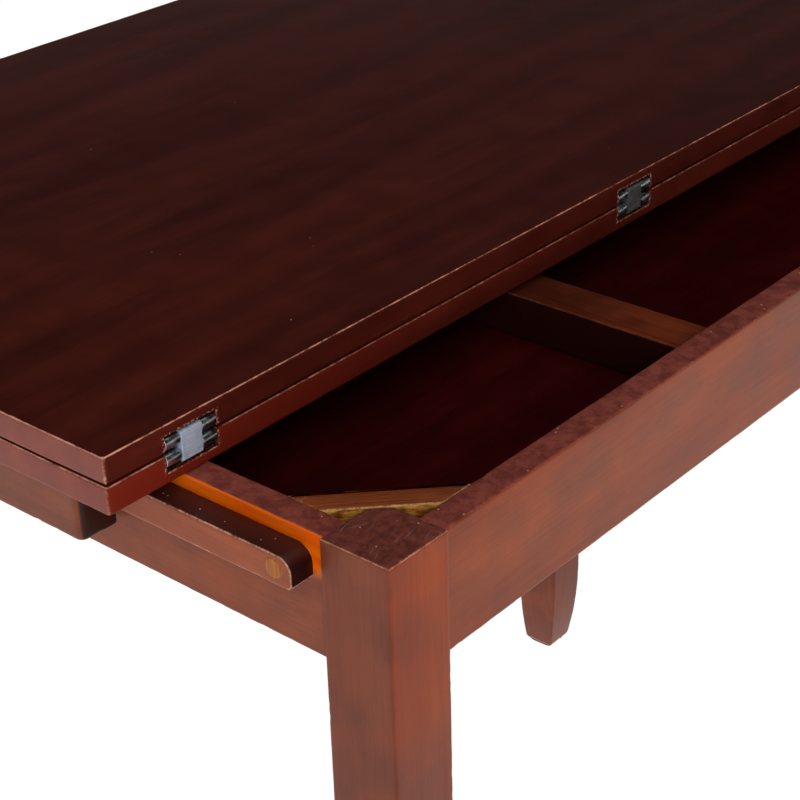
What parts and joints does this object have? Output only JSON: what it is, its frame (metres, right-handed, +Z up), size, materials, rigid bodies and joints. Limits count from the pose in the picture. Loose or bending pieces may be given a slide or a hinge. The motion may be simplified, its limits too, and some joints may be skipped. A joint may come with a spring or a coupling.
{
  "type": "flip-top sliding table",
  "caption": "Table on square tapered legs whose folded double top slides back on runners over a divided storage well and opens out on link hinges.",
  "frame": {"origin": "on the floor, under the middle of the whole table's box with the folded top slid back 156 mm from closed", "axes": "+X along the table's length to the right as seen from the front, +Y towards the back, the way the top slides to open, +Z up"},
  "size_m": [0.944, 0.6876, 0.7735],
  "materials": {
    "top_wood": "very dark red-brown mahogany stain, satin lacquer",
    "frame_wood": "warm red-brown stain, satin lacquer",
    "rail_wood": "thin brown stain over pale wood",
    "well_wood": "dark maroon stain, dull",
    "runner_wood": "dark red-brown stain, satin lacquer",
    "raw_wood": "bare pale wood with some stain on it",
    "hinge_metal": "dark pewter plating",
    "link_metal": "satin grey plating",
    "bolt_steel": "zinc plated",
    "glide_plastic": "moulded"
  },
  "bodies": {
    "base": {"leg_front_left": "frame_wood", "leg_front_right": "frame_wood", "leg_back_left": "frame_wood", "leg_back_right": "frame_wood", "apron_front": "frame_wood", "apron_back": "frame_wood", "apron_left": "frame_wood", "apron_right": "frame_wood", "corner_brace_front_left": "raw_wood", "corner_brace_front_right": "raw_wood", "corner_brace_back_left": "raw_wood", "corner_brace_back_right": "raw_wood", "hanger_bolt_front_left": "bolt_steel", "hanger_bolt_front_right": "bolt_steel", "hanger_bolt_back_left": "bolt_steel", "hanger_bolt_back_right": "bolt_steel", "brace_nut_front_left": "bolt_steel", "brace_nut_front_right": "bolt_steel", "brace_nut_back_left": "bolt_steel", "brace_nut_back_right": "bolt_steel", "foot_glide_front_left": "glide_plastic", "foot_glide_front_right": "glide_plastic", "foot_glide_back_left": "glide_plastic", "foot_glide_back_right": "glide_plastic", "well_board": "well_wood", "divider_rail": "rail_wood", "ledger_front": "raw_wood", "ledger_back": "raw_wood", "ledger_left": "raw_wood", "ledger_right": "raw_wood", "runner_left": "runner_wood", "runner_right": "runner_wood", "runner_plug_front_left": "raw_wood", "runner_plug_front_right": "raw_wood", "runner_plug_back_left": "raw_wood", "runner_plug_back_right": "raw_wood"},
    "sliding_top": {"lower_leaf": "top_wood", "cleat_left": "frame_wood", "cleat_right": "frame_wood", "stop_block_front": "runner_wood", "stop_block_rear": "runner_wood", "hinge_lower_left": "hinge_metal", "hinge_lower_middle": "hinge_metal", "hinge_lower_right": "hinge_metal", "lower_pin_left": "bolt_steel", "lower_pin_middle": "bolt_steel", "lower_pin_right": "bolt_steel"},
    "hinge_links": {"hinge_link_left": "link_metal", "hinge_link_middle": "link_metal", "hinge_link_right": "link_metal"},
    "flap": {"upper_leaf": "top_wood", "hinge_upper_left": "hinge_metal", "hinge_upper_middle": "hinge_metal", "hinge_upper_right": "hinge_metal", "upper_pin_left": "bolt_steel", "upper_pin_middle": "bolt_steel", "upper_pin_right": "bolt_steel"}
  },
  "joints": [
    {"name": "top_slide", "type": "slide", "parent": "base", "child": "sliding_top", "axis": [0, 1, 0], "range_m": [-0.156, 0.1165]},
    {"name": "link_swing", "type": "hinge", "parent": "sliding_top", "child": "hinge_links", "pos_m": [0, -0.19765, 0.75125], "axis": [1, 0, 0], "range_deg": [0, 90]},
    {"name": "flap_swing", "type": "hinge", "parent": "hinge_links", "child": "flap", "pos_m": [0, -0.19765, 0.76125], "axis": [1, 0, 0], "range_deg": [0, 90]}
  ]
}
